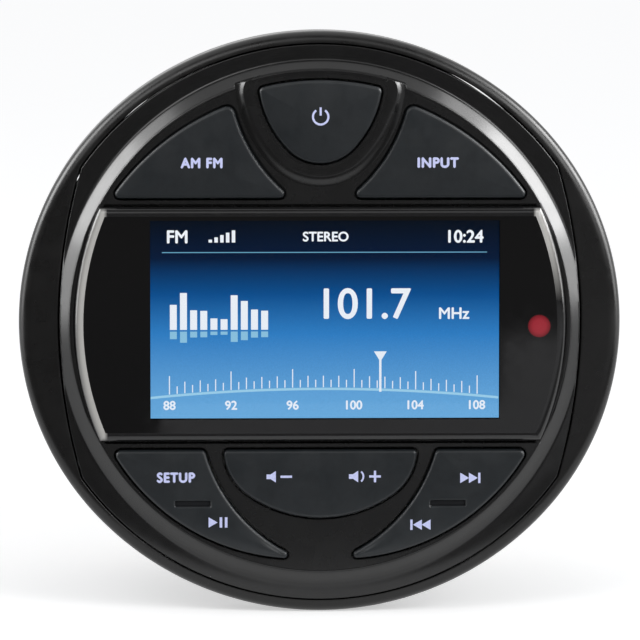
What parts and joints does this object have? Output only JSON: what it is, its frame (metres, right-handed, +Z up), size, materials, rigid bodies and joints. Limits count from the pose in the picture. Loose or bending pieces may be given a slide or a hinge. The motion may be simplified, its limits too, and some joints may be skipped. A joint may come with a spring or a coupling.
{
  "type": "marine stereo",
  "caption": "Round flush-mount marine stereo: an oval trim ring round a display lens with push keys and rocker keys, a barrel behind it and a strap clamp with thumb nuts",
  "frame": {"origin": "Centre of the seating plane, where the gasket's rear face meets the dash, on the barrel's axis", "axes": "Front face looks along -Y, +Y runs into the dash along the barrel, +Z is up the face and +X is to the right seen from the front"},
  "size_m": [0.104, 0.0966, 0.1006],
  "materials": {
    "trim_plastic": "satin moulded black",
    "panel_plastic": "satin moulded black",
    "lens": "polished, smoked",
    "tape": "matt black",
    "ir_red": "clear dark red",
    "key_plastic": "soft-touch dark grey",
    "steel": "stainless",
    "white_plastic": "white acetal",
    "mat_rubber": "grey silicone",
    "component_black": "moulded black",
    "led": "clear white",
    "display": "lit display",
    "tin_plate": "tinned sheet",
    "circuit_board": "solder mask",
    "cream_plastic": "nylon",
    "ribbon": "grey",
    "gasket_rubber": "closed-cell foam rubber",
    "housing_plastic": "glass-filled black",
    "capacitor_sleeve": "dark blue sleeve",
    "choke": "lacquered winding",
    "anodised": "dark anodised",
    "seal_rubber": "red silicone",
    "brass": "turned",
    "nickel": "nickel plate",
    "gold_plate": "plated",
    "bracket_steel": "stainless sheet"
  },
  "bodies": {
    "unit": {"trim_ring": "trim_plastic", "front_panel": "panel_plastic", "display_lens": "lens", "lens_tape": "tape", "ir_window": "ir_red", "rocker_pins": "steel", "rocker_saddles": "white_plastic", "keypad_mat": "mat_rubber", "tact_switches": "component_black", "legend_leds": "led", "ir_receiver": "component_black", "display_glass": "display", "backlight_plate": "white_plastic", "display_tray": "tin_plate", "front_board": "circuit_board", "ribbon_headers": "cream_plastic", "ribbon_cable": "ribbon", "panel_screws": "steel", "panel_gasket": "gasket_rubber", "rear_housing": "housing_plastic", "main_board": "circuit_board", "board_screws": "steel", "amplifier_chip": "component_black", "tuner_can": "tin_plate", "capacitors": "capacitor_sleeve", "filter_choke": "choke", "heat_sink": "anodised", "heat_sink_screws": "steel", "rear_cover": "housing_plastic", "cover_seal": "seal_rubber", "cover_screws": "steel", "harness_socket": "cream_plastic", "harness_pins": "brass", "antenna_socket": "nickel", "line_out_sockets": "gold_plate", "clamp_studs": "steel"},
    "power_key": {"power_key": "key_plastic"},
    "band_key": {"band_key": "key_plastic"},
    "mode_key": {"mode_key": "key_plastic"},
    "menu_play_key": {"menu_play_key": "key_plastic"},
    "track_key": {"track_key": "key_plastic"},
    "volume_key": {"volume_key": "key_plastic"},
    "bracket": {"clamp_bracket": "bracket_steel", "clamp_washers": "steel"},
    "nut_left": {"clamp_nut_left": "brass"},
    "nut_right": {"clamp_nut_right": "brass"}
  },
  "joints": [
    {"name": "power_press", "type": "slide", "parent": "unit", "child": "power_key", "axis": [0, 1, 0], "range_m": [0, 0.0006], "stiffness_N_per_m": 2500},
    {"name": "band_press", "type": "slide", "parent": "unit", "child": "band_key", "axis": [0, 1, 0], "range_m": [0, 0.0006], "stiffness_N_per_m": 2500},
    {"name": "mode_press", "type": "slide", "parent": "unit", "child": "mode_key", "axis": [0, 1, 0], "range_m": [0, 0.0006], "stiffness_N_per_m": 2500},
    {"name": "menu_play_tilt", "type": "hinge", "parent": "unit", "child": "menu_play_key", "pos_m": [-0.02201, -0.01001, -0.03097], "axis": [1, 0, 0], "range_deg": [-2.5, 2.5], "stiffness_Nm_per_rad": 0.45},
    {"name": "track_tilt", "type": "hinge", "parent": "unit", "child": "track_key", "pos_m": [0.02201, -0.01001, -0.03097], "axis": [1, 0, 0], "range_deg": [-2.5, 2.5], "stiffness_Nm_per_rad": 0.45},
    {"name": "volume_tilt", "type": "hinge", "parent": "unit", "child": "volume_key", "pos_m": [0, -0.01001, -0.02715], "axis": [0, 0, 1], "range_deg": [-2.5, 2.5], "stiffness_Nm_per_rad": 0.45},
    {"name": "clamp_slide", "type": "slide", "parent": "unit", "child": "bracket", "axis": [0, 1, 0], "range_m": [-0.0035, 0.01]},
    {"name": "left_nut_turn", "type": "hinge", "parent": "bracket", "child": "nut_left", "pos_m": [-0.026, 0.0668, 0], "axis": [0, 1, 0], "range_deg": [-1580, 4505]},
    {"name": "right_nut_turn", "type": "hinge", "parent": "bracket", "child": "nut_right", "pos_m": [0.026, 0.0668, 0], "axis": [0, 1, 0], "range_deg": [-1580, 4505]}
  ],
  "couplings": [
    {"joint": "left_nut_turn", "follows": "clamp_slide", "rad_per_m": 7854},
    {"joint": "right_nut_turn", "follows": "clamp_slide", "rad_per_m": 7854}
  ]
}
